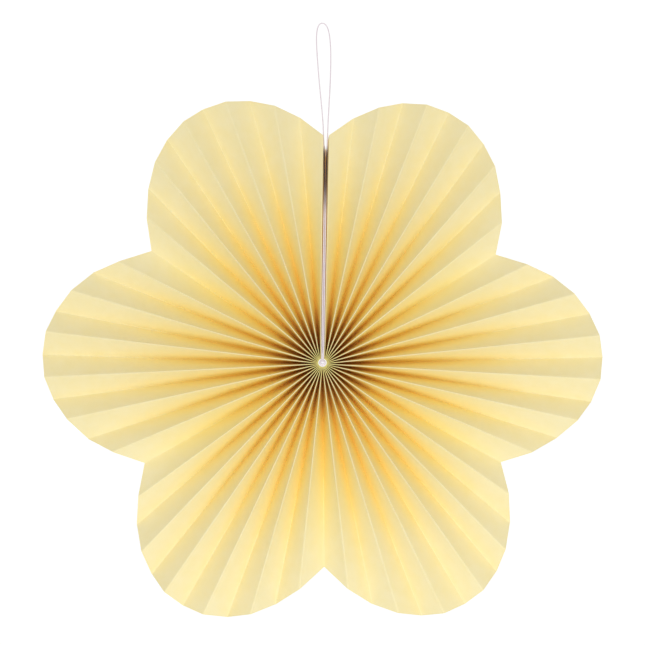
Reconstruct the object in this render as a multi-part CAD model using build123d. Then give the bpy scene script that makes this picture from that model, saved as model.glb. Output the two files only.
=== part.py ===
"""A hanging paper rosette: one long strip of paper, pleated and closed into a six-petalled flower.

Frame: millimetres, +X to the right, +Z up, the front faces -Y, and the origin is the centre of
the hub hole, midway between the front folds and the back folds. Azimuths are in degrees, measured
clockwise from straight up as the front is seen.
"""
from build123d import *
import math
import os

# ---- Driving dimensions, in millimetres and degrees ----

# The strip: each petal is a scallop cut in its outer edge, and folds stand across its width.
petal_count = 6
petal_tip_radius = 150.0
petal_depth = 40.6
panel_width = 15.0
rim_opening = 53.5
paper_thickness = 0.14
gap_inside_fold = 0.01

# The hub, where the layers lie almost against each other round a small hole.
gap_between_layers = 0.015

# The seam: the strip's two end panels stand back side by side, and tape joins their rear edges.
seam_azimuth = 0.9
flange_width = 5.0
tape_thickness = 0.1
tape_inset = 0.3
tape_end_gap = 3.0

# The rosette was opened by hand, so its folds stand a little further apart on one side.
spread_unevenness = 0.027
widest_azimuth = -27.0

# The thread: doubled, with its bight as the hanging loop and its two legs down the seam's groove.
thread_diameter = 0.8
gap_between_legs = 0.06
thread_clearance = 0.15
thread_rim_clearance = 1.27
thread_front_gap = 0.4
leg_dip_radius = 62.0
leg_dip_share = 0.28
leg_set_back = 2.6
exit_past_notch = 8.6
loop_depth = -1.6
loop_height = 72.5
bend_share = 0.45

# The knot in the front of the hub's hole, too wide to be pulled up the groove.
knot_clearance = 0.25
knot_proud = 2.0
knot_length = 4.0
knot_rounding = 0.6
knot_top = 1.45

# Where each crease is given a point: at the hub, part of the way out, and at the rim.
stations = (0.0, 0.55, 1.0)

# ---- What follows from them ----

# A petal holds the fewest pairs of panels that reach along its edge without opening further.
petal_edge = 2 * math.pi / petal_count * (petal_tip_radius - petal_depth / 3)
pair_reach = 2 * panel_width * math.sin(math.radians(rim_opening))
panels_in_petal = 2 * math.ceil(petal_edge / pair_reach)
panel_count = petal_count * panels_in_petal
fold_count = panel_count - 1
notch_radius = petal_tip_radius - petal_depth

half_paper = paper_thickness / 2
fold_width = paper_thickness + gap_inside_fold
layer_pitch = fold_width + gap_between_layers

thread_radius = thread_diameter / 2
leg_offset = thread_radius + gap_between_legs / 2
groove_half_at_hub = leg_offset + thread_radius + thread_clearance
groove_half_at_rim = leg_offset + thread_radius + thread_rim_clearance

seam_direction = math.radians(seam_azimuth)
flange_offset = tape_thickness / 2 + half_paper
hub_fold_offset = groove_half_at_hub + half_paper + fold_width / 2
rim_fold_offset = groove_half_at_rim + half_paper + fold_width / 2
hub_radius = ((fold_count - 1) * layer_pitch + 2 * hub_fold_offset) / (2 * math.pi)

knot_radius = hub_radius - knot_clearance


def outward(azimuth):
    """The unit vector from the hub at that azimuth, in radians."""
    return Vector(math.sin(azimuth), 0, math.cos(azimuth))


def clockwise(azimuth):
    """The unit vector along the rim at that azimuth, in radians."""
    return Vector(math.cos(azimuth), 0, -math.sin(azimuth))


def in_seam(side, depth, radius):
    """A point given across the seam, front to back, and out along it."""
    across = clockwise(seam_direction) * side
    return across + Vector(0, depth, 0) + outward(seam_direction) * radius


def rim_radius(panels_along):
    """The scalloped outer edge, at a distance along the strip counted in panels."""
    from_tip = (panels_along % panels_in_petal) / panels_in_petal * 2 - 1
    return petal_tip_radius - petal_depth * from_tip**2


def rim_azimuths():
    """The azimuth of each fold at the rim: the gaps between folds are equal along the edge."""
    start = seam_direction + math.asin(rim_fold_offset / rim_radius(1))
    end = seam_direction + 2 * math.pi - math.asin(rim_fold_offset / rim_radius(panel_count - 1))
    gaps = []
    for fold in range(1, fold_count):
        roughly = math.radians(360 * fold / panel_count - widest_azimuth)
        evenness = 1 + spread_unevenness * math.cos(roughly)
        pair_middle = fold + fold % 2
        gaps.append(evenness / rim_radius(pair_middle))
    scale = (end - start) / sum(gaps)
    azimuths = [start]
    for gap in gaps:
        azimuths.append(azimuths[-1] + gap * scale)
    return azimuths


def hub_azimuths():
    """The azimuth of each fold at the hub, packed evenly round from one side of the groove."""
    start = seam_direction + math.asin(hub_fold_offset / hub_radius)
    step = (2 * math.pi - 2 * (start - seam_direction)) / (fold_count - 1)
    return [start + step * fold for fold in range(fold_count)]


def fold_edges(station, at_hub, at_rim):
    """Each fold's two bends at a station, in plan: they lie fold_width apart along the rim."""
    bends = []
    for fold in range(fold_count):
        inner = outward(at_hub[fold]) * hub_radius
        outer = outward(at_rim[fold]) * rim_radius(fold + 1)
        place = inner + (outer - inner) * station
        along = clockwise(math.atan2(place.X, place.Z)) * (fold_width / 2)
        bends.append((place - along, place + along))
    return bends


def half_depths(bends):
    """Half the pleat's depth at each fold: every panel keeps its width, however far it opens."""
    depths = []
    for left, right in zip(bends, bends[1:]):
        middle = left[1].normalized() + right[0].normalized()
        across = clockwise(math.atan2(middle.X, middle.Z))
        chord = (right[0] - left[1]).dot(across)
        depths.append(math.sqrt(panel_width**2 - chord**2) / 2)
    around = [depths[0]] + depths + [depths[-1]]
    return [(before + after) / 2 for before, after in zip(around, around[1:])]


def end_panel(bend_point, front_depth, panels_along, station):
    """The two points that carry an end panel back from its front fold to the taped edge."""
    side = math.copysign(flange_offset, panels_along - panel_count / 2) * -1
    front_radius = bend_point.dot(outward(seam_direction))
    front_side = bend_point.dot(clockwise(seam_direction))
    lean = abs(front_side) - flange_offset
    reach = math.sqrt((panel_width - flange_width) ** 2 - lean**2)
    rear_radius = hub_radius + (rim_radius(panels_along) - hub_radius) * station
    share = flange_width / panel_width
    bend_radius = front_radius * share + rear_radius * (1 - share)
    bend_depth = front_depth + reach
    return in_seam(side, bend_depth, bend_radius), in_seam(side, bend_depth + flange_width, rear_radius)


def section(station, at_hub, at_rim):
    """The paper's mid-surface at a station, as points from one end of the strip to the other."""
    bends = fold_edges(station, at_hub, at_rim)
    depths = half_depths(bends)
    points = []
    for fold, (left, right) in enumerate(bends):
        depth = -depths[fold] if fold % 2 == 0 else depths[fold]
        points.append(left + Vector(0, depth, 0))
        points.append(right + Vector(0, depth, 0))
    first_bend, first_edge = end_panel(bends[0][0], -depths[0], 0, station)
    last_bend, last_edge = end_panel(bends[-1][1], -depths[-1], panel_count, station)
    return [first_edge, first_bend] + points + [last_bend, last_edge]


def both_faces(points):
    """The section moved half a thickness to the front side and to the rear side of the paper."""
    normals = []
    for start, end in zip(points, points[1:]):
        middle = (start + end) * 0.5
        radial = Vector(middle.X, 0, middle.Z).normalized()
        normals.append((end - start).cross(radial).normalized())
    around = [normals[0]] + normals + [normals[-1]]
    near, far = [], []
    for point, before, after in zip(points, around, around[1:]):
        mitre = (before + after) * (half_paper / (1 + before.dot(after)))
        near.append(point + mitre)
        far.append(point - mitre)
    return near, far


def quad(a, b, c, d):
    """A ruled face with its corners in that order."""
    return Face.make_surface_from_curves(Edge.make_line(a, b), Edge.make_line(d, c))


def pleated_sheet():
    """The whole strip as one solid: near and far faces of each panel and fold, and its cut edges."""
    at_hub = hub_azimuths()
    at_rim = rim_azimuths()
    sides = [both_faces(section(station, at_hub, at_rim)) for station in stations]
    faces = []
    last = len(sides[0][0]) - 1
    for (near, far), (next_near, next_far) in zip(sides, sides[1:]):
        for k in range(last):
            faces.append(quad(near[k], near[k + 1], next_near[k + 1], next_near[k]))
            faces.append(quad(far[k], far[k + 1], next_far[k + 1], next_far[k]))
        for k in (0, last):
            faces.append(quad(near[k], far[k], next_far[k], next_near[k]))
    for near, far in (sides[0], sides[-1]):
        for k in range(last):
            faces.append(quad(near[k], near[k + 1], far[k + 1], far[k]))
    return Solid(Shell(faces))


def seam_tape():
    """Double-sided tape between the two flanges of the seam, a little inside their edges."""
    at_hub = hub_azimuths()
    at_rim = rim_azimuths()
    front_line, rear_line = [], []
    for station in stations:
        points = section(station, at_hub, at_rim)
        rear_line.append(points[0])
        front_line.append(points[1])
    outline = []
    for line, inset in ((front_line, tape_inset), (rear_line, -tape_inset)):
        hub_end = line[0] + (line[1] - line[0]).normalized() * tape_end_gap
        rim_end = line[2] + (line[1] - line[2]).normalized() * tape_end_gap
        row = [in_seam(0, p.Y + inset, p.dot(outward(seam_direction)))
               for p in (hub_end, line[1], rim_end)]
        outline += row if not outline else row[::-1]
    face = Face(Wire.make_polygon(outline, close=True))
    return extrude(face, amount=tape_thickness / 2, dir=clockwise(seam_direction), both=True)


def hub_depth():
    """Half the depth of the packed pleats, to the outside of their folds."""
    bends = fold_edges(stations[0], hub_azimuths(), rim_azimuths())
    return max(half_depths(bends)) + half_paper


def thread_route():
    """One leg up from the knot, round the loop, and the other leg down to the knot again."""
    front = -hub_depth() - thread_front_gap - thread_radius
    exit_radius = notch_radius + exit_past_notch
    loop_top = notch_radius + loop_height - thread_radius
    exit_depth = leg_set_back - half_depths(fold_edges(stations[-1], hub_azimuths(), rim_azimuths()))[0]
    dip_depth = front + (exit_depth - front) * leg_dip_share
    return [
        in_seam(-leg_offset, front, knot_top),
        in_seam(-leg_offset, dip_depth, leg_dip_radius),
        in_seam(-leg_offset, exit_depth, exit_radius),
        Vector(-2.6, loop_depth, notch_radius + 48.6),
        Vector(-3.7, loop_depth, loop_top),
        Vector(3.4, loop_depth, loop_top),
        Vector(4.9, loop_depth, notch_radius + 51.6),
        in_seam(leg_offset, exit_depth, exit_radius),
        in_seam(leg_offset, dip_depth, leg_dip_radius),
        in_seam(leg_offset, front, knot_top),
    ]


def bend_radii(route):
    """Each bend as large as its two runs allow."""
    radii = []
    for before, here, after in zip(route, route[1:], route[2:]):
        turn = math.radians((here - before).get_angle(after - here))
        shorter = min((here - before).length, (after - here).length)
        radii.append(bend_share * shorter / math.tan(turn / 2))
    return radii


def hanging_thread():
    """The thread as a plain tube along its route."""
    route = thread_route()
    radii = bend_radii(route)
    path = FilletPolyline(*route, radius=radii)
    start = Plane(origin=route[0], z_dir=route[1] - route[0])
    tube = sweep(start * Circle(thread_radius), path=path)
    expected = math.pi * thread_radius**2 * path.length
    print("thread bend radii:", [round(radius, 1) for radius in radii])
    print("thread length:", round(path.length, 1), "volume / expected:", round(tube.volume / expected, 5))
    return tube


def thread_knot():
    """The tied ends as a rounded barrel in the hub's hole, flat where the two legs leave its top."""
    seat = Plane(origin=Vector(0, -hub_depth() - knot_proud, 0), z_dir=Vector(0, 1, 0))
    barrel = seat * Cylinder(knot_radius, knot_length, align=(Align.CENTER, Align.CENTER, Align.MIN))
    barrel = fillet(barrel.edges().filter_by(GeomType.CIRCLE), knot_rounding)
    leg_start, leg_next = thread_route()[:2]
    top = Plane(origin=leg_start, z_dir=leg_next - leg_start)
    return split(barrel, bisect_by=top, keep=Keep.BOTTOM)


def main():
    os.makedirs("parts", exist_ok=True)
    export_step(pleated_sheet(), "parts/pleated_sheet.step")
    export_step(seam_tape(), "parts/seam_tape.step")
    export_step(hanging_thread(), "parts/hanging_thread.step")
    export_step(thread_knot(), "parts/thread_knot.step")


main()
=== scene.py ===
"""Looks for the hanging paper rosette: pleated paper, seam tape, twisted pale thread and its knot.

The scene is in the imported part's frame, in metres: +X right, +Z up, front towards -Y, and the origin
at the centre of the hub hole. The rosette's own points are worked out in millimetres, and scaled when
its meshes are made. Azimuths run clockwise from straight up, as seen from the front.
"""
import math

import bpy
import numpy as np
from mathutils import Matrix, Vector


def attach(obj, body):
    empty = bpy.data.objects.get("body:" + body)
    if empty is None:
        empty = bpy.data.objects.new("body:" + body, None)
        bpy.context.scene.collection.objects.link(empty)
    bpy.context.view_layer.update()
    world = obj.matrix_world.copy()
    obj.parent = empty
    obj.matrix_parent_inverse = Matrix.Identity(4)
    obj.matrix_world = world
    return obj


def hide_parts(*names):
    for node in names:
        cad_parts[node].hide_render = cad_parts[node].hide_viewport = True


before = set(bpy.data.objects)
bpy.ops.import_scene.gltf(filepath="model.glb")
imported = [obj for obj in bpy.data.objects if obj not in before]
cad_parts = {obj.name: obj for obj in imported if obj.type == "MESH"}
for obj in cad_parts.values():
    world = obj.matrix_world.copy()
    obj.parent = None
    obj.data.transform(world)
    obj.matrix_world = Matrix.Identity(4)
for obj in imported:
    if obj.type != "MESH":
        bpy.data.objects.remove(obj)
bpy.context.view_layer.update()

MM = 0.001

# ---- Sizes that the part's source gives, in millimetres and degrees ----
PETAL_COUNT = 6
PANELS_IN_PETAL = 12
PANEL_WIDTH = 15.0
PETAL_TIP_RADIUS = 150.0
PETAL_DEPTH = 40.6
PAPER_THICKNESS = 0.14
FOLD_WIDTH = 0.15
HUB_RADIUS = 2.1963
SEAM_AZIMUTH = math.radians(0.9)
GROOVE_HALF_AT_HUB = 0.98
FLANGE_WIDTH = 5.0
TAPE_THICKNESS = 0.1
SPREAD_UNEVENNESS = 0.027
WIDEST_AZIMUTH = -27.0
THREAD_DIAMETER = 0.8
LEG_OFFSET = 0.43
KNOT_RADIUS = 1.946
KNOT_FRONT = -9.57
KNOT_LENGTH = 4.0
KNOT_TOP = 1.45

# The thread's route: each leg as (depth, radius) in the seam, then the loop as (x, y, z).
LEG_POINTS = ((-8.37, KNOT_TOP), (-6.59, 62.0), (-2.0, 118.0))
LOOP_POINTS = ((-2.6, -1.6, 158.0), (-3.7, -1.6, 181.5), (3.4, -1.6, 181.5), (4.9, -1.6, 161.0))

PANEL_COUNT = PETAL_COUNT * PANELS_IN_PETAL
FOLD_COUNT = PANEL_COUNT - 1
HALF_PAPER = PAPER_THICKNESS / 2
FLANGE_OFFSET = TAPE_THICKNESS / 2 + HALF_PAPER

# ---- The groove at the rim: the part's is 2.1, and the photo's looks narrower ----
GROOVE_HALF_AT_RIM = 1.6

# ---- How finely the paper is meshed, and how far it strays from a perfect fold ----
RADIAL_STEPS = 46
ACROSS_PANEL = (0.0, 0.05, 0.12, 0.25, 0.4, 0.6, 0.75, 0.88, 0.95, 1.0)
PANEL_BOW = 0.22
BOW_GROWTH = 1.2
FOLD_DRIFT = 0.35
DRIFT_GROWTH = 1.5
SHARP_ANGLE = math.radians(60)
SEED = 11

# ---- The thread's lay: plies twisted round its line ----
PLY_COUNT = 3
PLY_PITCH = 3.0
STEPS_PER_TURN = 10
PLY_SIDES = 6
POINTS_IN_SPAN = 24

# ---- The knot's winding: a strand that goes round and up and down at once ----
KNOT_HALF_STRAND = 0.45
KNOT_WINDINGS = 11
KNOT_CLIMBS = 4
KNOT_ROUNDING = 0.72
KNOT_POINTS = 1200

# ---- Heights between which the thread is in the deep shade of the groove's mouth ----
SHADE_BOTTOM, SHADE_FULL = 76.0, 98.0
SHADE_END, SHADE_TOP = 111.0, 117.0

# ---- Where the paper's painted shade and painted highlight show. Depths go from 0 at a crease to 1 at the bottom of a valley ----
PAINTED_SHADING_RADIUS = 110.0
NEAR_HUB_FALL = 1.3
VALLEY_DEPTHS = (0.15, 1.0)
VALLEY_STRENGTH = 0.7
DEEP_VALLEY_DEPTHS = (0.0, 0.6)
DEEP_VALLEY_RADII = (4.0, 34.0)
DEEP_VALLEY_STRENGTH = 0.8
# Painted highlight: the creases paler near the hub, where the crests catch the light.
CREASE_DEPTHS = (0.0, 0.12)
CREASE_RADII = (3.0, 15.0)
CREASE_FALL = 0.5
CREASE_STRENGTH = 0.8

# ---- Colours ----
PAPER_PALE = (0.985, 0.925, 0.59)
PAPER_DEEP = (0.975, 0.90, 0.52)
PAPER_THROUGH = (0.93, 0.74, 0.16)
THROUGH_SHARE = 0.16
# Painted shade: a deeper, more orange yellow near the hub and down in the valleys, where light bounces
# between the pleats; painted highlight: paler creases near the hub.
PAPER_PAINTED_SHADING = {
    "painted_shade_near_hub": (0.985, 0.885, 0.28),
    "valley": (0.975, 0.80, 0.20),
    "painted_deep_valley_shade": (0.66, 0.26, 0.02),
    "crease": (0.99, 0.95, 0.68),
}
THREAD_DARK = (0.78, 0.68, 0.74)
THREAD_LIGHT = (0.93, 0.88, 0.90)
THREAD_IN_SHADE = (0.035, 0.02, 0.028)
TAPE_DARK = (0.80, 0.78, 0.70)
TAPE_LIGHT = (0.90, 0.88, 0.82)
BACKDROP_COLOUR = (0.82, 0.82, 0.82)
BACKDROP_GLOW = (0.5, 0.5, 0.5)

# ---- The camera, the stage and the world's light, in metres ----
CAMERA_DISTANCE = 4.0
VIEW_WIDTH = 0.345
VIEW_MIDDLE = Vector((0.0, 0.0, 0.0215))
FLOOR_Z = -0.6
FLOOR_FRONT = -3.0
BEND_START = 0.9
BEND_RADIUS = 0.5
BEND_STEPS = 12
WALL_TOP = 3.0
STAGE_HALF_WIDTH = 4.0
WORLD_STRENGTH = 0.635


def outward(azimuth):
    """Unit vectors from the hub, for an array of azimuths."""
    azimuth = np.asarray(azimuth, float)
    return np.stack([np.sin(azimuth), np.zeros_like(azimuth), np.cos(azimuth)], axis=-1)


def clockwise(azimuth):
    """Unit vectors along the rim, for an array of azimuths."""
    azimuth = np.asarray(azimuth, float)
    return np.stack([np.cos(azimuth), np.zeros_like(azimuth), -np.sin(azimuth)], axis=-1)


SEAM_OUT = outward(SEAM_AZIMUTH)
SEAM_ACROSS = clockwise(SEAM_AZIMUTH)
FRONT_TO_BACK = np.array([0.0, 1.0, 0.0])


def in_seam(side, depth, radius):
    """A point given across the seam, front to back, and out along it."""
    return SEAM_ACROSS * side + FRONT_TO_BACK * depth + SEAM_OUT * radius


def unit(vectors):
    """The vectors at length 1."""
    return vectors / np.linalg.norm(vectors, axis=-1, keepdims=True)


def smooth_step(value, low, high):
    """0 below low, 1 above high, and a smooth rise between."""
    share = np.clip((value - low) / (high - low), 0, 1)
    return share * share * (3 - 2 * share)


# ---- The camera ----

def add_camera():
    """Straight on, from far enough for the near-parallel view of a long lens."""
    data = bpy.data.cameras.new("camera")
    camera = bpy.data.objects.new("camera", data)
    bpy.context.scene.collection.objects.link(camera)
    camera.location = VIEW_MIDDLE + Vector((0.0, -CAMERA_DISTANCE, 0.0))
    camera.rotation_euler = (math.radians(90), 0, 0)
    data.lens = data.sensor_width * CAMERA_DISTANCE / VIEW_WIDTH
    bpy.context.scene.camera = camera


# ---- Materials ----

def new_material(name):
    """A material with only its output and a Principled shader."""
    material = bpy.data.materials.new(name)
    material.use_nodes = True
    tree = material.node_tree
    tree.nodes.clear()
    output = tree.nodes.new("ShaderNodeOutputMaterial")
    shader = tree.nodes.new("ShaderNodeBsdfPrincipled")
    tree.links.new(shader.outputs["BSDF"], output.inputs["Surface"])
    return material, tree, shader, output


def object_coordinates(tree):
    """Coordinates that stay with the piece."""
    return tree.nodes.new("ShaderNodeTexCoord").outputs["Object"]


def noise(tree, coordinates, scale, detail, roughness=0.5):
    """A noise texture on those coordinates."""
    node = tree.nodes.new("ShaderNodeTexNoise")
    node.inputs["Scale"].default_value = scale
    node.inputs["Detail"].default_value = detail
    node.inputs["Roughness"].default_value = roughness
    tree.links.new(coordinates, node.inputs["Vector"])
    return node.outputs["Fac"]


def ramp(tree, value, low, high):
    """A value turned into a colour between two stops, each (position, colour)."""
    node = tree.nodes.new("ShaderNodeValToRGB")
    for element, (position, colour) in zip(node.color_ramp.elements, (low, high)):
        element.position = position
        element.color = (*colour, 1)
    tree.links.new(value, node.inputs["Fac"])
    return node.outputs["Color"]


def tinted(tree, colour, name, tint):
    """The colour, turned towards a tint by a float of that name which the mesh holds at each point."""
    strength = tree.nodes.new("ShaderNodeAttribute")
    strength.attribute_name = name
    mix = tree.nodes.new("ShaderNodeMix")
    mix.data_type = "RGBA"
    factor, first, second = mix.inputs[0], mix.inputs[6], mix.inputs[7]
    tree.links.new(strength.outputs["Fac"], factor)
    tree.links.new(colour, first)
    second.default_value = (*tint, 1)
    return mix.outputs[2]


def bump(tree, shader, height, strength, distance):
    """Fine relief on the shader; its normal is handed back for another shader to share."""
    node = tree.nodes.new("ShaderNodeBump")
    node.inputs["Strength"].default_value = strength
    node.inputs["Distance"].default_value = distance
    tree.links.new(height, node.inputs["Height"])
    tree.links.new(node.outputs["Normal"], shader.inputs["Normal"])
    return node.outputs["Normal"]


def calculated(tree, operation, first, second):
    """Two values put through a maths node."""
    node = tree.nodes.new("ShaderNodeMath")
    node.operation = operation
    tree.links.new(first, node.inputs[0])
    tree.links.new(second, node.inputs[1])
    return node.outputs["Value"]


def show_mixed(tree, output, first, second):
    """Show two shaders mixed, and hand back the socket for the second's share."""
    mix = tree.nodes.new("ShaderNodeMixShader")
    tree.links.new(first.outputs["BSDF"], mix.inputs[1])
    tree.links.new(second.outputs["BSDF"], mix.inputs[2])
    tree.links.new(mix.outputs["Shader"], output.inputs["Surface"])
    return mix.inputs["Fac"]


def paper_material():
    """Dyed craft paper: cloudy with fibre, with painted shade deepening its yellow down in the valleys and
    near the hub, a painted highlight on the creases near the hub, and it lets light through.
    """
    material, tree, shader, output = new_material("yellow_paper")
    coordinates = object_coordinates(tree)
    cloud = noise(tree, coordinates, scale=160.0, detail=5.0, roughness=0.6)
    colour = ramp(tree, cloud, (0.3, PAPER_DEEP), (0.7, PAPER_PALE))
    # Painted shade near the hub and in the valleys, and a painted highlight on the creases near the hub,
    # go into the base colour.
    for name, tint in PAPER_PAINTED_SHADING.items():
        colour = tinted(tree, colour, name, tint)
    tree.links.new(colour, shader.inputs["Base Color"])
    shader.inputs["Roughness"].default_value = 0.8
    shader.inputs["Specular IOR Level"].default_value = 0.2
    fibre = noise(tree, coordinates, scale=1400.0, detail=3.0)
    normal = bump(tree, shader, fibre, strength=0.15, distance=0.00015)
    translucent = tree.nodes.new("ShaderNodeBsdfTranslucent")
    translucent.inputs["Color"].default_value = (*PAPER_THROUGH, 1)
    tree.links.new(normal, translucent.inputs["Normal"])
    show_mixed(tree, output, shader, translucent).default_value = THROUGH_SHARE
    return material


def thread_material():
    """Soft off-white yarn with a lilac cast, with painted shade near black where it sinks into the mouth
    of the groove.
    """
    material, tree, shader, _ = new_material("pale_thread")
    coordinates = object_coordinates(tree)
    cloud = noise(tree, coordinates, scale=2600.0, detail=3.0)
    colour = ramp(tree, cloud, (0.3, THREAD_DARK), (0.7, THREAD_LIGHT))
    # Painted shade: near black where the thread lies in the mouth of the groove.
    colour = tinted(tree, colour, "in_shade", THREAD_IN_SHADE)
    tree.links.new(colour, shader.inputs["Base Color"])
    shader.inputs["Roughness"].default_value = 0.55
    shader.inputs["Sheen Weight"].default_value = 0.3
    bump(tree, shader, noise(tree, coordinates, scale=5000.0, detail=2.0), strength=0.3, distance=0.00005)
    return material


def tape_material():
    """Milky double-sided film."""
    material, tree, shader, _ = new_material("seam_tape")
    coordinates = object_coordinates(tree)
    cloud = noise(tree, coordinates, scale=350.0, detail=3.0)
    colour = ramp(tree, cloud, (0.35, TAPE_DARK), (0.65, TAPE_LIGHT))
    tree.links.new(colour, shader.inputs["Base Color"])
    shader.inputs["Roughness"].default_value = 0.35
    bump(tree, shader, noise(tree, coordinates, scale=900.0, detail=2.0), strength=0.1, distance=0.00005)
    return material


def backdrop_material():
    """Pale grey that glows for the camera and in reflections, and that is clear when seen from behind."""
    material, tree, shader, output = new_material("backdrop")
    shader.inputs["Base Color"].default_value = (*BACKDROP_COLOUR, 1)
    shader.inputs["Roughness"].default_value = 0.9
    shader.inputs["Emission Color"].default_value = (*BACKDROP_GLOW, 1)
    ray = tree.nodes.new("ShaderNodeLightPath")
    seen = calculated(tree, "MAXIMUM", ray.outputs["Is Camera Ray"], ray.outputs["Is Glossy Ray"])
    tree.links.new(seen, shader.inputs["Emission Strength"])
    surface = tree.nodes.new("ShaderNodeNewGeometry")
    behind = calculated(tree, "MULTIPLY", ray.outputs["Is Camera Ray"], surface.outputs["Backfacing"])
    clear = tree.nodes.new("ShaderNodeBsdfTransparent")
    tree.links.new(behind, show_mixed(tree, output, shader, clear))
    return material


# ---- Meshes ----

def add_mesh(name, vertices, faces, material):
    """A smooth mesh object, from an array of points in metres."""
    mesh = bpy.data.meshes.new(name)
    mesh.from_pydata(vertices.tolist(), [], faces)
    mesh.validate()
    mesh.materials.append(material)
    for polygon in mesh.polygons:
        polygon.use_smooth = True
    piece = bpy.data.objects.new(name, mesh)
    bpy.context.scene.collection.objects.link(piece)
    return piece


def add_to_points(piece, name, values):
    """A float at each point of the mesh, for its material to read."""
    piece.data.attributes.new(name, "FLOAT", "POINT").data.foreach_set("value", values)


# ---- The thread ----

def thread_route():
    """The part's own route for the thread: up the left leg, over the loop and down the right leg."""
    left = [in_seam(-LEG_OFFSET, depth, radius) for depth, radius in LEG_POINTS]
    right = [in_seam(LEG_OFFSET, depth, radius) for depth, radius in reversed(LEG_POINTS)]
    return np.array([*left, *LOOP_POINTS, *right])


def smooth_line(points):
    """Points read off a quadratic NURBS spline with those control points."""
    curve = bpy.data.curves.new("line", "CURVE")
    curve.dimensions = "3D"
    spline = curve.splines.new("NURBS")
    spline.points.add(len(points) - 1)
    for place, point in zip(spline.points, points):
        place.co = (*(point * MM), 1)
    spline.order_u = 3
    spline.use_endpoint_u = True
    curve.resolution_u = POINTS_IN_SPAN
    holder = bpy.data.objects.new("line", curve)
    mesh = bpy.data.meshes.new_from_object(holder)
    line = np.array([vertex.co for vertex in mesh.vertices]) / MM
    bpy.data.objects.remove(holder)
    bpy.data.curves.remove(curve)
    bpy.data.meshes.remove(mesh)
    return line


def evenly(line, step):
    """The line again, with its points about a step apart."""
    along = np.concatenate([[0], np.cumsum(np.linalg.norm(np.diff(line, axis=0), axis=1))])
    places = np.linspace(0, along[-1], max(2, round(along[-1] / step)) + 1)
    return np.stack([np.interp(places, along, line[:, axis]) for axis in range(3)], axis=1)


def carried_frames(line):
    """Two unit vectors square to the line at each point, carried along it without twist."""
    tangents = unit(np.gradient(line, axis=0))
    not_along_the_start = (0.3, 0.1, 0.9)
    side = unit(np.cross(tangents[0], not_along_the_start))
    sides = []
    for tangent in tangents:
        side = unit(side - tangent * (side @ tangent))
        sides.append(side)
    sides = np.array(sides)
    return sides, np.cross(tangents, sides)


def tube(line, radius):
    """Vertices and faces of one ply: a closed tube round a line, its ends capped."""
    first, second = carried_frames(line)
    turn = np.linspace(0, 2 * math.pi, PLY_SIDES, endpoint=False)[None, :, None]
    rings = line[:, None] + radius * (np.cos(turn) * first[:, None] + np.sin(turn) * second[:, None])
    faces = [tuple(range(PLY_SIDES))[::-1]]
    for ring in range(len(line) - 1):
        for k in range(PLY_SIDES):
            a = ring * PLY_SIDES + k
            b = ring * PLY_SIDES + (k + 1) % PLY_SIDES
            faces.append((a, b, b + PLY_SIDES, a + PLY_SIDES))
    last = (len(line) - 1) * PLY_SIDES
    faces.append(tuple(range(last, last + PLY_SIDES)))
    return rings.reshape(-1, 3), faces


def twisted(line):
    """Vertices and faces of the thread's plies laid round a line, each touching the next."""
    line = evenly(line, PLY_PITCH / STEPS_PER_TURN)
    first, second = carried_frames(line)
    reach = 1 / math.sin(math.pi / PLY_COUNT)
    ply_radius = THREAD_DIAMETER / 2 / (1 + reach)
    turn = 2 * math.pi * np.arange(len(line)) / STEPS_PER_TURN
    vertices, faces, count = [], [], 0
    for ply in range(PLY_COUNT):
        here = turn + 2 * math.pi * ply / PLY_COUNT
        offset = np.cos(here)[:, None] * first + np.sin(here)[:, None] * second
        points, polygons = tube(line + offset * ply_radius * reach, ply_radius)
        vertices.append(points)
        faces += [tuple(v + count for v in polygon) for polygon in polygons]
        count += len(points)
    return np.concatenate(vertices), faces


def add_knot(material):
    """Both legs tied off in a tight ball of turns that fills the front of the hub's hole."""
    middle = np.array((0.0, KNOT_FRONT + KNOT_LENGTH / 2, 0.0))
    turn = np.linspace(0, 2 * math.pi, KNOT_POINTS)
    height = np.sin(KNOT_CLIMBS * turn)
    width = (KNOT_RADIUS - KNOT_HALF_STRAND) * np.sqrt(1 - KNOT_ROUNDING * height**2)
    around = KNOT_WINDINGS * turn
    along = (KNOT_LENGTH / 2 - KNOT_HALF_STRAND) * height
    ball = np.stack([width * np.cos(around), along, width * np.sin(around)], axis=1)
    vertices, faces = twisted(middle + ball)
    knot = add_mesh("knot", vertices * MM, faces, material)
    add_to_points(knot, "in_shade", np.zeros(len(vertices)))
    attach(knot, "root")
    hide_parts("thread_knot")
    return knot


def shade_in_groove(height):
    """How dark the groove is at a height: darkest just below the notch, open again by halfway down."""
    return smooth_step(height, SHADE_BOTTOM, SHADE_FULL) * (1 - smooth_step(height, SHADE_END, SHADE_TOP))


def add_thread():
    """The doubled thread, knot to knot, as twisted plies along its line."""
    material = thread_material()
    line = smooth_line(thread_route())
    vertices, faces = twisted(line)
    thread = add_mesh("thread", vertices * MM, faces, material)
    add_to_points(thread, "in_shade", shade_in_groove(vertices[:, 2]))
    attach(thread, "root")
    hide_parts("hanging_thread")
    add_knot(material)


# ---- The paper ----

def rim_radius(panels_along):
    """The scalloped outer edge, at a distance along the strip counted in panels."""
    from_tip = (np.asarray(panels_along, float) % PANELS_IN_PETAL) / PANELS_IN_PETAL * 2 - 1
    return PETAL_TIP_RADIUS - PETAL_DEPTH * from_tip**2


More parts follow.
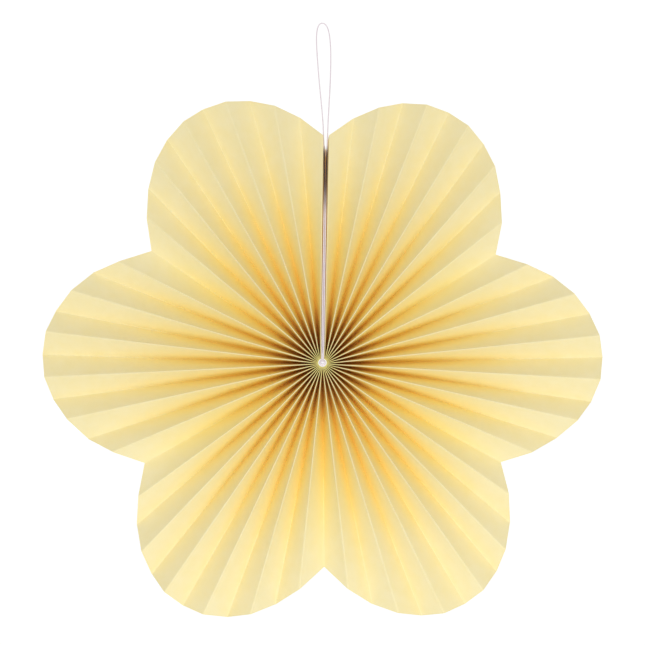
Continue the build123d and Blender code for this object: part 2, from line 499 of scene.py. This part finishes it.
def rim_azimuths():
    """The azimuth of each fold at the rim: equal gaps along the edge, but a little wider on one side."""
    offset = GROOVE_HALF_AT_RIM + HALF_PAPER + FOLD_WIDTH / 2
    start = SEAM_AZIMUTH + math.asin(offset / rim_radius(1))
    end = SEAM_AZIMUTH + 2 * math.pi - math.asin(offset / rim_radius(PANEL_COUNT - 1))
    fold = np.arange(1, FOLD_COUNT)
    from_widest = np.radians(360 * fold / PANEL_COUNT - WIDEST_AZIMUTH)
    gaps = (1 + SPREAD_UNEVENNESS * np.cos(from_widest)) / rim_radius(fold + fold % 2)
    return start + np.concatenate([[0], np.cumsum(gaps)]) * (end - start) / gaps.sum()


def hub_azimuths():
    """The azimuth of each fold at the hub, packed evenly round from one side of the groove."""
    offset = GROOVE_HALF_AT_HUB + HALF_PAPER + FOLD_WIDTH / 2
    half_groove = math.asin(offset / HUB_RADIUS)
    return SEAM_AZIMUTH + np.linspace(half_groove, 2 * math.pi - half_groove, FOLD_COUNT)


def end_panel(bend_point, front_depth, panels_along, share, turn):
    """The two points of an end panel behind its front fold, in strip order: its bend and taped edge."""
    side = -turn * FLANGE_OFFSET
    lean = abs(bend_point @ SEAM_ACROSS) - FLANGE_OFFSET
    reach = math.sqrt((PANEL_WIDTH - FLANGE_WIDTH) ** 2 - lean**2)
    rear_radius = HUB_RADIUS + (rim_radius(panels_along) - HUB_RADIUS) * share
    part = FLANGE_WIDTH / PANEL_WIDTH
    bend_radius = (bend_point @ SEAM_OUT) * part + rear_radius * (1 - part)
    bend_depth = front_depth + reach
    bend = in_seam(side, bend_depth, bend_radius)
    edge = in_seam(side, bend_depth + FLANGE_WIDTH, rear_radius)
    return np.stack([edge, bend] if turn < 0 else [bend, edge])


def section(share, at_hub, at_rim, drift):
    """The paper's mid-surface part of the way out, as points from one end of the strip to the other."""
    inner = outward(at_hub) * HUB_RADIUS
    outer = outward(at_rim) * rim_radius(np.arange(1, PANEL_COUNT))[:, None]
    place = inner + (outer - inner) * share
    along = clockwise(np.arctan2(place[:, 0], place[:, 2]))
    place = place + along * (drift * share**DRIFT_GROWTH)[:, None]
    left = place - along * FOLD_WIDTH / 2
    right = place + along * FOLD_WIDTH / 2
    middle = unit(right[:-1]) + unit(left[1:])
    across = clockwise(np.arctan2(middle[:, 0], middle[:, 2]))
    chord = ((left[1:] - right[:-1]) * across).sum(1)
    depths = np.sqrt(PANEL_WIDTH**2 - chord**2) / 2
    around = np.concatenate([[depths[0]], depths, [depths[-1]]])
    half = (around[:-1] + around[1:]) / 2
    signed = np.where(np.arange(FOLD_COUNT) % 2 == 0, -half, half)
    left[:, 1] = right[:, 1] = signed
    bends = np.stack([left, right], axis=1).reshape(-1, 3)
    first = end_panel(left[0], -half[0], 0, share, -1)
    last = end_panel(right[-1], -half[-1], PANEL_COUNT, share, 1)
    return np.concatenate([first, bends, last])


def bowed_row(corners, bow):
    """The section's points with each panel's flat divided up and bowed; a fold's own flat stays plain."""
    row = []
    for start, end, height in zip(corners, corners[1:], bow):
        if np.linalg.norm(end - start) < 2 * FOLD_WIDTH:
            row.append(start)
            continue
        middle = (start + end) / 2
        normal = unit(np.cross(end - start, (middle[0], 0, middle[2])))
        for part in ACROSS_PANEL[:-1]:
            row.append(start + (end - start) * part + normal * 4 * part * (1 - part) * height)
    row.append(corners[-1])
    return row


def panel_grid():
    """Mid-surface points as an array [radial step, place along the strip, xyz]."""
    rng = np.random.default_rng(SEED)
    drift = rng.normal(0, 1, FOLD_COUNT) * FOLD_DRIFT
    drift[[0, -1]] = 0
    bow = rng.normal(0, 1, 2 * FOLD_COUNT + 3) * PANEL_BOW
    at_hub, at_rim = hub_azimuths(), rim_azimuths()
    rows = []
    for share in np.linspace(0, 1, RADIAL_STEPS + 1):
        swell = share**BOW_GROWTH * math.sin(math.pi * (share * 0.9 + 0.1))
        rows.append(bowed_row(section(share, at_hub, at_rim, drift), bow * swell))
    return np.array(rows)


def both_faces(points):
    """The near and far faces of the paper: half a thickness each way, meeting at each bend."""
    step = np.diff(points, axis=1)
    middle = (points[:, 1:] + points[:, :-1]) / 2
    middle[..., 1] = 0
    normals = unit(np.cross(step, middle))
    before = np.concatenate([normals[:, :1], normals], axis=1)
    after = np.concatenate([normals, normals[:, -1:]], axis=1)
    mitre = (before + after) * HALF_PAPER / (1 + (before * after).sum(2))[..., None]
    return points + mitre, points - mitre


def sheet_faces(rows, columns):
    """Quads over the near face, the far face and the four edges, for points that list near, then far."""
    near = np.arange(rows * columns).reshape(rows, columns).tolist()
    far = np.arange(rows * columns, 2 * rows * columns).reshape(rows, columns).tolist()
    faces = []
    for r in range(rows - 1):
        for c in range(columns - 1):
            faces.append((near[r][c], near[r][c + 1], near[r + 1][c + 1], near[r + 1][c]))
            faces.append((far[r][c], far[r + 1][c], far[r + 1][c + 1], far[r][c + 1]))
    for r in (0, rows - 1):
        for c in range(columns - 1):
            quad = (near[r][c], far[r][c], far[r][c + 1], near[r][c + 1])
            faces.append(quad if r == 0 else quad[::-1])
    for c in (0, columns - 1):
        for r in range(rows - 1):
            quad = (near[r][c], near[r + 1][c], far[r + 1][c], far[r][c])
            faces.append(quad if c == 0 else quad[::-1])
    return faces


def painted_shading_strengths(vertices):
    """How strongly the painted shade and the painted highlight show at each point. A valley of the near
    face is a crease of the far one.
    """
    radius = np.hypot(vertices[:, 0], vertices[:, 2])
    depth = vertices[:, 1] / PANEL_WIDTH + 0.5
    far = slice(len(depth) // 2, None)
    depth[far] = 1 - depth[far]
    inwards = np.clip(1 - radius / PAINTED_SHADING_RADIUS, 0, 1)
    inner, outer = DEEP_VALLEY_RADII
    painted_deep_valley_shade = smooth_step(depth, *DEEP_VALLEY_DEPTHS) * smooth_step(-radius, -outer, -inner)
    # Painted highlight on the crests, strongest a little way out from the hub.
    crease = (1 - smooth_step(depth, *CREASE_DEPTHS)) * inwards**CREASE_FALL
    return {
        "painted_shade_near_hub": inwards**NEAR_HUB_FALL,
        "valley": smooth_step(depth, *VALLEY_DEPTHS) * inwards * VALLEY_STRENGTH,
        "painted_deep_valley_shade": painted_deep_valley_shade * DEEP_VALLEY_STRENGTH,
        "crease": crease * CREASE_STRENGTH * smooth_step(radius, *CREASE_RADII),
    }


def add_paper():
    """The pleated strip as one closed mesh."""
    near, far = both_faces(panel_grid())
    vertices = np.concatenate([near.reshape(-1, 3), far.reshape(-1, 3)])
    paper = add_mesh("paper", vertices * MM, sheet_faces(*near.shape[:2]), paper_material())
    paper.data.set_sharp_from_angle(angle=SHARP_ANGLE)
    # Stores at each point how strongly the painted shade and the painted highlight show.
    for name, values in painted_shading_strengths(vertices).items():
        add_to_points(paper, name, values)
    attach(paper, "root")
    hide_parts("pleated_sheet")


# ---- The tape ----

def dress_tape():
    """The tape keeps the part's own mesh and gets its own material."""
    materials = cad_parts["seam_tape"].data.materials
    materials.clear()
    materials.append(tape_material())


# ---- The stage and the lights ----

def add_stage():
    """A plain pale floor that curves up into a backdrop."""
    profile = [(FLOOR_FRONT, FLOOR_Z), (BEND_START, FLOOR_Z)]
    for k in range(1, BEND_STEPS + 1):
        turn = math.pi / 2 * k / BEND_STEPS
        rise = BEND_RADIUS * (1 - math.cos(turn))
        profile.append((BEND_START + BEND_RADIUS * math.sin(turn), FLOOR_Z + rise))
    profile.append((BEND_START + BEND_RADIUS, WALL_TOP))
    vertices = [(x, y, z) for y, z in profile for x in (-STAGE_HALF_WIDTH, STAGE_HALF_WIDTH)]
    faces = [(2 * k, 2 * k + 1, 2 * k + 3, 2 * k + 2) for k in range(len(profile) - 1)]
    backdrop = add_mesh("backdrop", np.array(vertices), faces, backdrop_material())


def add_area_light(name, place, size, power):
    """A round soft light that faces the rosette and isn't seen itself."""
    data = bpy.data.lights.new(name, "AREA")
    data.shape = "DISK"
    data.size = size
    data.energy = power
    lamp = bpy.data.objects.new(name, data)
    lamp.location = place
    lamp.rotation_euler = (-Vector(place)).to_track_quat("-Z", "Y").to_euler()
    lamp.visible_camera = False
    bpy.context.scene.collection.objects.link(lamp)


def add_lights():
    """Soft light all round, a key from low in front, and a fill from further off."""
    world = bpy.data.worlds.new("world")
    bpy.context.scene.world = world
    world.use_nodes = True
    background = world.node_tree.nodes["Background"]
    background.inputs["Color"].default_value = (1, 1, 1, 1)
    background.inputs["Strength"].default_value = WORLD_STRENGTH
    add_area_light("key", place=(0.1, -0.58, -0.36), size=0.35, power=1.45)
    add_area_light("fill", place=(-0.1, -2.0, 0.2), size=0.8, power=7.0)


def set_up_scene():
    """Plain colours, and enough bounces for light to work its way down between the pleats."""
    scene = bpy.context.scene
    scene.view_settings.view_transform = "Standard"
    scene.cycles.diffuse_bounces = 24
    scene.cycles.max_bounces = 32


set_up_scene()
add_camera()
add_thread()
add_paper()
add_stage()
add_lights()
dress_tape()
